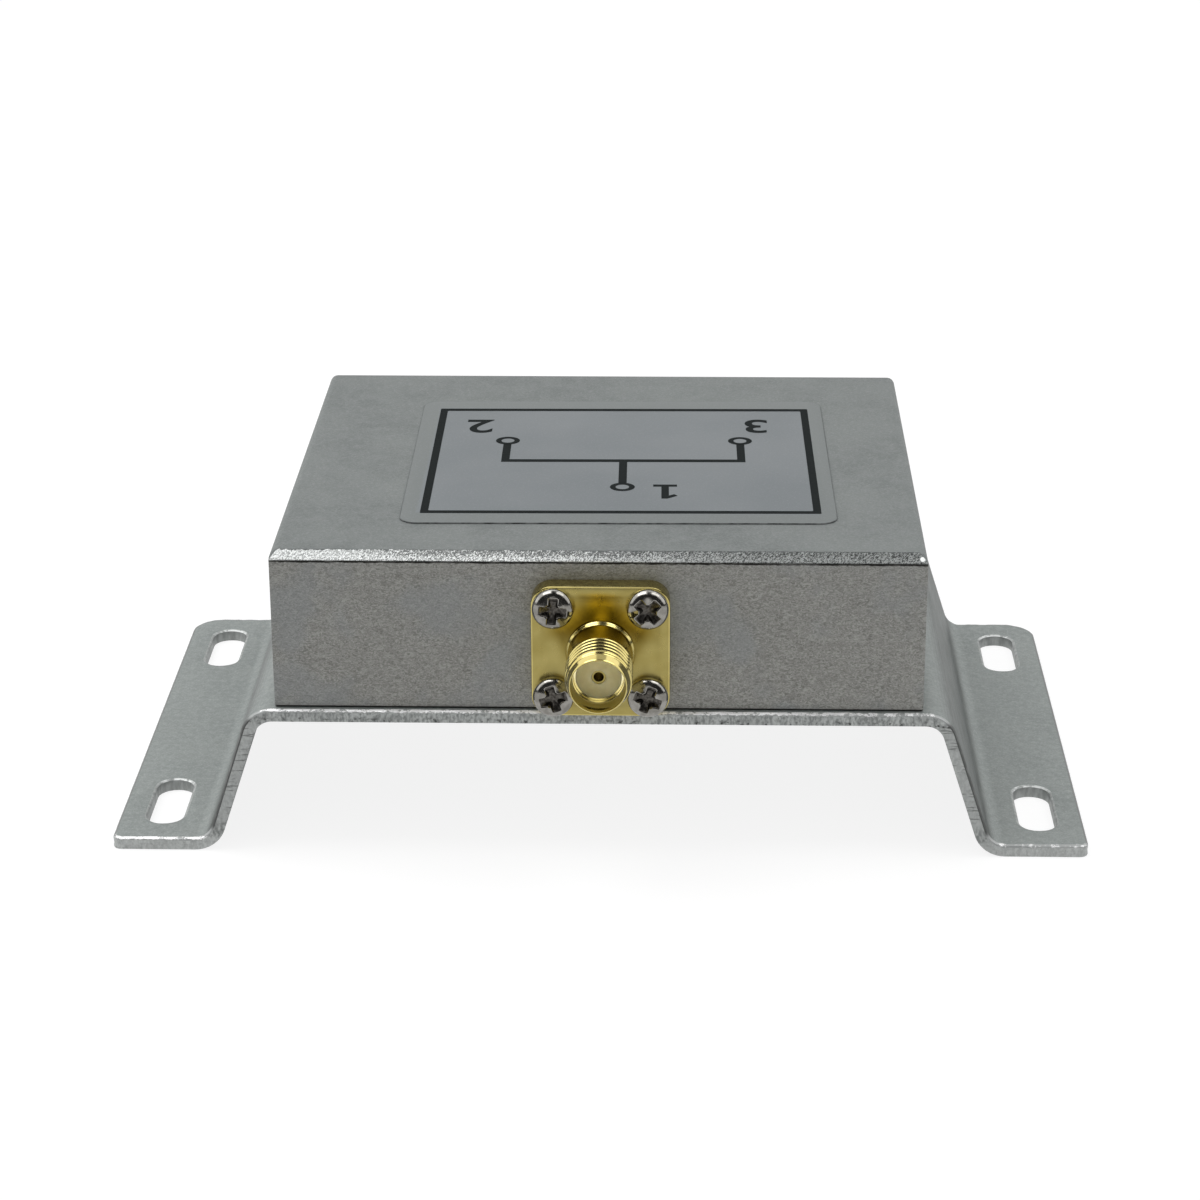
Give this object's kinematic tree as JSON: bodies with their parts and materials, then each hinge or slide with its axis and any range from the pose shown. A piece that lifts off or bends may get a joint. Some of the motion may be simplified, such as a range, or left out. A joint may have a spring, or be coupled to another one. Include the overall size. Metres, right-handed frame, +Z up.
{
  "type": "rf power splitter",
  "caption": "Flat metal box on a bent sheet bracket with slotted feet, with a threaded coaxial jack in front and output jacks behind, for splitting a radio signal.",
  "frame": {"origin": "on the surface under the feet, below the middle of the box", "axes": "+X to the right across the feet, -Y out of the input jack, +Z up"},
  "size_m": [0.0918, 0.0742, 0.0301],
  "materials": {
    "housing": "cast, brushed and plated, dull",
    "bracket": "dull zinc plate, edges bare",
    "label": "silver film, printed",
    "gilt": "gold plate, polished",
    "insulator": "white, waxy",
    "contact": "gold plate, satin",
    "screws": "nickel plate, bright",
    "board": "glass laminate",
    "copper": "etched copper",
    "resistor": "coated",
    "solder": "soft, bright"
  },
  "bodies": {
    "root": {"housing": "housing", "mounting_bracket": "bracket", "label": "label", "input_jack": "gilt", "input_insulator": "insulator", "input_contact": "contact", "input_jack_screws": "screws", "output_1_jack": "gilt", "output_1_insulator": "insulator", "output_1_contact": "contact", "output_1_jack_screws": "screws", "output_2_jack": "gilt", "output_2_insulator": "insulator", "output_2_contact": "contact", "output_2_jack_screws": "screws", "circuit_board": "board", "copper_lines": "copper", "isolation_resistor_1": "resistor", "isolation_resistor_2": "resistor", "isolation_resistor_3": "resistor", "input_solder_joint": "solder", "output_1_solder_joint": "solder", "output_2_solder_joint": "solder", "board_screws": "screws", "base_screws": "screws"}
  },
  "joints": []
}
